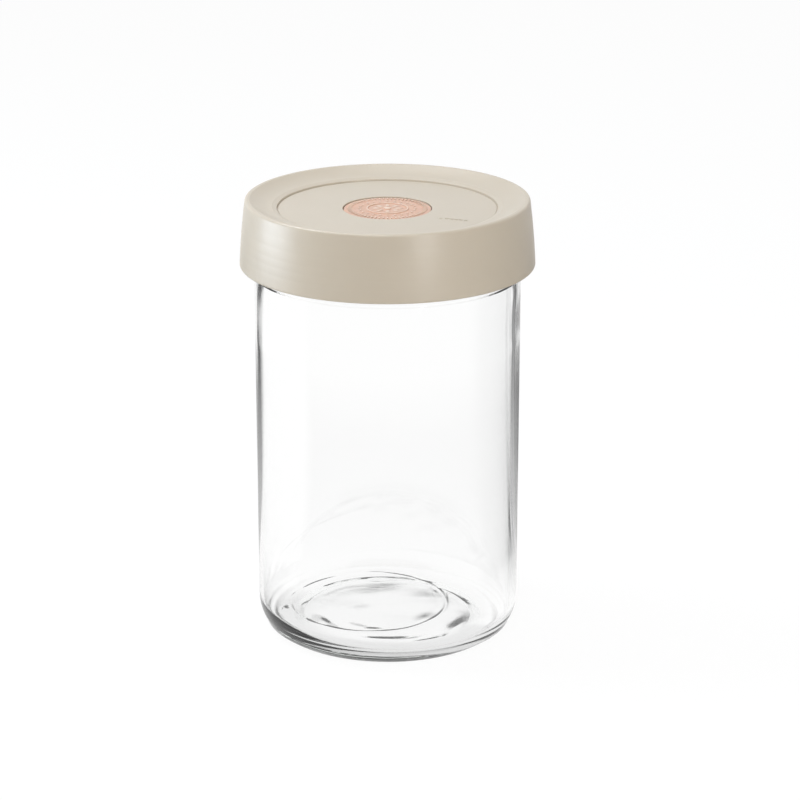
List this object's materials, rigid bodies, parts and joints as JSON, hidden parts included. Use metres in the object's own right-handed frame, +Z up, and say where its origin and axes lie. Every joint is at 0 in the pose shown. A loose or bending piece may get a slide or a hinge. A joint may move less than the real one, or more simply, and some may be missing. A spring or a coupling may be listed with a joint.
{
  "type": "pickling jar",
  "caption": "Wide-mouth glass pickling jar with a beige screw lid, a silicone lid seal and a round silicone vent valve in the middle of the lid.",
  "frame": {"origin": "centre of the ring that the jar stands on", "axes": "+Z up along the jar's axis, -Y towards the side that the picture shows, +X to the right of it"},
  "size_m": [0.12, 0.12, 0.184],
  "materials": {
    "glass": "clear fire-polished soda-lime glass",
    "lid_plastic": "satin moulded polypropylene",
    "seal_silicone": "smooth silicone",
    "valve_silicone": "matt silicone with a raised pattern"
  },
  "bodies": {
    "jar": {"glass_jar": "glass"},
    "seal": {"lid_seal": "seal_silicone"},
    "lid": {"lid": "lid_plastic"},
    "valve": {"vent_valve": "valve_silicone"}
  },
  "joints": [
    {"name": "lid_lift", "type": "slide", "parent": "jar", "child": "seal", "axis": [0, 0, 1], "range_m": [0, 0.0226]},
    {"name": "lid_turn", "type": "hinge", "parent": "seal", "child": "lid", "pos_m": [0, 0, 0.1755], "axis": [0, 0, 1], "range_deg": [0, 904]},
    {"name": "valve_lift", "type": "slide", "parent": "lid", "child": "valve", "axis": [0, 0, 1], "range_m": [0, 0.0015], "stiffness_N_per_m": 300}
  ],
  "couplings": [
    {"joint": "lid_lift", "follows": "lid_turn", "m_per_rad": 0.0014324}
  ]
}
